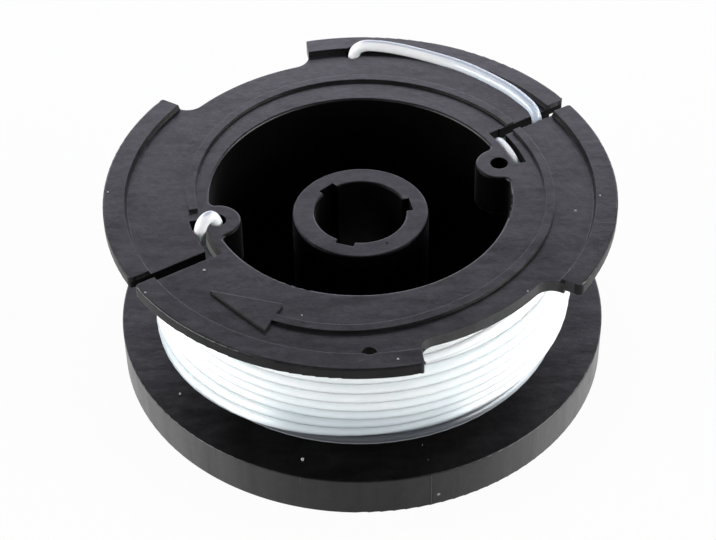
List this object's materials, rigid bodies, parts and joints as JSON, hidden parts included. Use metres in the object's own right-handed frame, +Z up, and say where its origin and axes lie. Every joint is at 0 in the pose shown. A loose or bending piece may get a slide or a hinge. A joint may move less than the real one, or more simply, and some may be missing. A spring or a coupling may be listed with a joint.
{
  "type": "trimmer line spool",
  "caption": "Moulded flanged spool with a keyed hub bore, wound with nylon cutting line whose free end is clipped in a slit of the upper flange; a spare for a garden trimmer head.",
  "frame": {"origin": "on the hub bore's axis, in the plane of the lower rim that the spool stands on", "axes": "+Z up along the hub bore to the flange with the slits; -Y towards the side the picture was taken from; +X to the right in the picture"},
  "size_m": [0.066, 0.066, 0.0286],
  "materials": {
    "black_plastic": "moulded satin",
    "clear_nylon": "smooth, milky and slightly see-through"
  },
  "bodies": {
    "root": {"spool_body": "black_plastic", "trimmer_line": "clear_nylon"}
  },
  "joints": []
}
